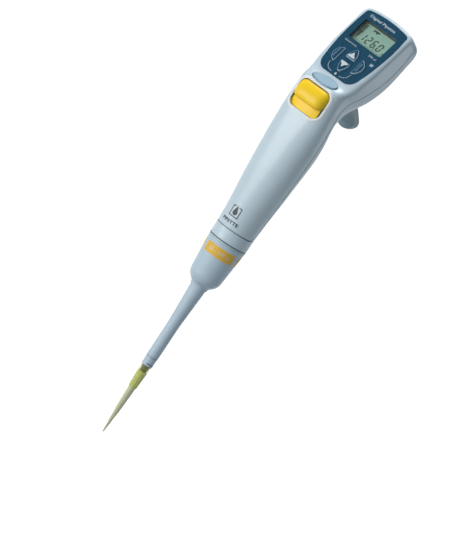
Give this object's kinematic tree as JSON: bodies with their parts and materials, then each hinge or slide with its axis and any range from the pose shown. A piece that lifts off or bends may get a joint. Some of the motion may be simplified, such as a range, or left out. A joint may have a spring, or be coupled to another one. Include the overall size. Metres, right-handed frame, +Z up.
{
  "type": "electronic pipette",
  "caption": "Electronic air-displacement pipette with a display head, keypad, thumb tip ejector, finger rest hook and a disposable tip fitted on its slim shaft.",
  "frame": {"origin": "on the shaft axis at the lower end face of the handle's collar", "axes": "+Z up the shaft axis away from the tip, -Y the display side, +X to the right of somebody facing the display"},
  "size_m": [0.0406, 0.064, 0.313],
  "materials": {
    "body_grey": "satin",
    "panel_blue": "satin",
    "key_blue": "satin",
    "window_clear": "gloss",
    "display_green": "matte",
    "key_rubber": "matte",
    "board_green": "matte",
    "key_light_blue": "satin",
    "switch_black": "matte",
    "accent_yellow": "satin",
    "steel": "satin",
    "sleeve_grey": "satin",
    "ring_white": "satin",
    "inner_plastic": "matte",
    "cone_black": "satin",
    "seal_white": "satin",
    "motor_steel": "satin",
    "brass": "satin",
    "coil_copper": "satin",
    "cell_sleeve": "satin",
    "tip_clear": "satin"
  },
  "bodies": {
    "housing": {"front_shell": "body_grey", "rear_shell": "body_grey", "control_panel": "panel_blue", "display_window": "window_clear", "display_bezel": "switch_black", "display_module": "display_green", "key_mat": "key_rubber", "main_board": "board_green", "pipetting_switch": "switch_black", "bell": "sleeve_grey", "coupling_ring": "ring_white", "nozzle_shaft": "inner_plastic", "nozzle_cone": "cone_black", "piston_seal": "seal_white", "o_ring": "key_rubber", "seal_retainer": "inner_plastic", "motor_case": "motor_steel", "motor_bearings": "brass", "stator_coils": "coil_copper", "guide_tube": "inner_plastic", "drive_frame": "inner_plastic", "housing_screws": "steel", "battery_cells": "cell_sleeve", "battery_contacts": "brass", "charging_socket": "switch_black"},
    "ejector": {"ejector_key": "accent_yellow", "ejector_rod": "steel", "ejector_yoke": "sleeve_grey", "ejector_sleeve": "sleeve_grey", "ejector_foot": "sleeve_grey", "ejector_spring": "steel"},
    "piston_drive": {"piston": "steel", "piston_head": "inner_plastic", "piston_spring": "steel", "lead_screw": "steel", "rotation_stop": "inner_plastic"},
    "rotor": {"motor_rotor": "steel"},
    "tip": {"pipette_tip": "tip_clear"},
    "menu_button": {"menu_key": "key_blue"},
    "enter_button": {"enter_key": "key_blue"},
    "up_button": {"up_key": "key_blue"},
    "down_button": {"down_key": "key_blue"},
    "pipetting_button": {"pipetting_key": "key_light_blue"},
    "rest": {"finger_rest": "body_grey", "finger_rest_screw": "steel"},
    "cover": {"battery_cover": "body_grey"}
  },
  "joints": [
    {"name": "ejector_slide", "type": "slide", "parent": "housing", "child": "ejector", "axis": [0, 0, -1], "range_m": [0, 0.0065], "stiffness_N_per_m": 300, "springref_m": -0.004, "deforming": ["ejector_spring"]},
    {"name": "tip_slide", "type": "slide", "parent": "housing", "child": "tip", "axis": [0, 0, -1], "range_m": [0, 0.0065]},
    {"name": "rotor_spin", "type": "hinge", "parent": "housing", "child": "rotor", "pos_m": [0, 0, 0.033], "axis": [0, 0, 1], "range_deg": [0, 4721.31]},
    {"name": "piston_slide", "type": "slide", "parent": "housing", "child": "piston_drive", "axis": [0, 0, 1], "range_m": [0, 0.016], "deforming": ["piston_spring"]},
    {"name": "menu_press", "type": "slide", "parent": "housing", "child": "menu_button", "axis": [0, 0.891, -0.454], "range_m": [0, 0.0006], "stiffness_N_per_m": 1500, "springref_m": -0.0003},
    {"name": "enter_press", "type": "slide", "parent": "housing", "child": "enter_button", "axis": [0, 0.891, -0.454], "range_m": [0, 0.0006], "stiffness_N_per_m": 1500, "springref_m": -0.0003},
    {"name": "up_press", "type": "slide", "parent": "housing", "child": "up_button", "axis": [0, 0.891, -0.454], "range_m": [0, 0.0006], "stiffness_N_per_m": 1500, "springref_m": -0.0003},
    {"name": "down_press", "type": "slide", "parent": "housing", "child": "down_button", "axis": [0, 0.891, -0.454], "range_m": [0, 0.0006], "stiffness_N_per_m": 1500, "springref_m": -0.0003},
    {"name": "pipetting_press", "type": "slide", "parent": "housing", "child": "pipetting_button", "axis": [0, 0.5878, -0.809], "range_m": [0, 0.001], "stiffness_N_per_m": 1500, "springref_m": -0.0003},
    {"name": "rest_adjust", "type": "slide", "parent": "housing", "child": "rest", "axis": [0, 0.4848, 0.8746], "range_m": [-0.003, 0.003]},
    {"name": "cover_lift", "type": "slide", "parent": "housing", "child": "cover", "axis": [0, 0.9652, -0.2617], "range_m": [0, 0.012]}
  ],
  "couplings": [
    {"joint": "tip_slide", "follows": "ejector_slide", "ratio": 1},
    {"joint": "piston_slide", "follows": "rotor_spin", "m_per_rad": 0.00019417}
  ]
}
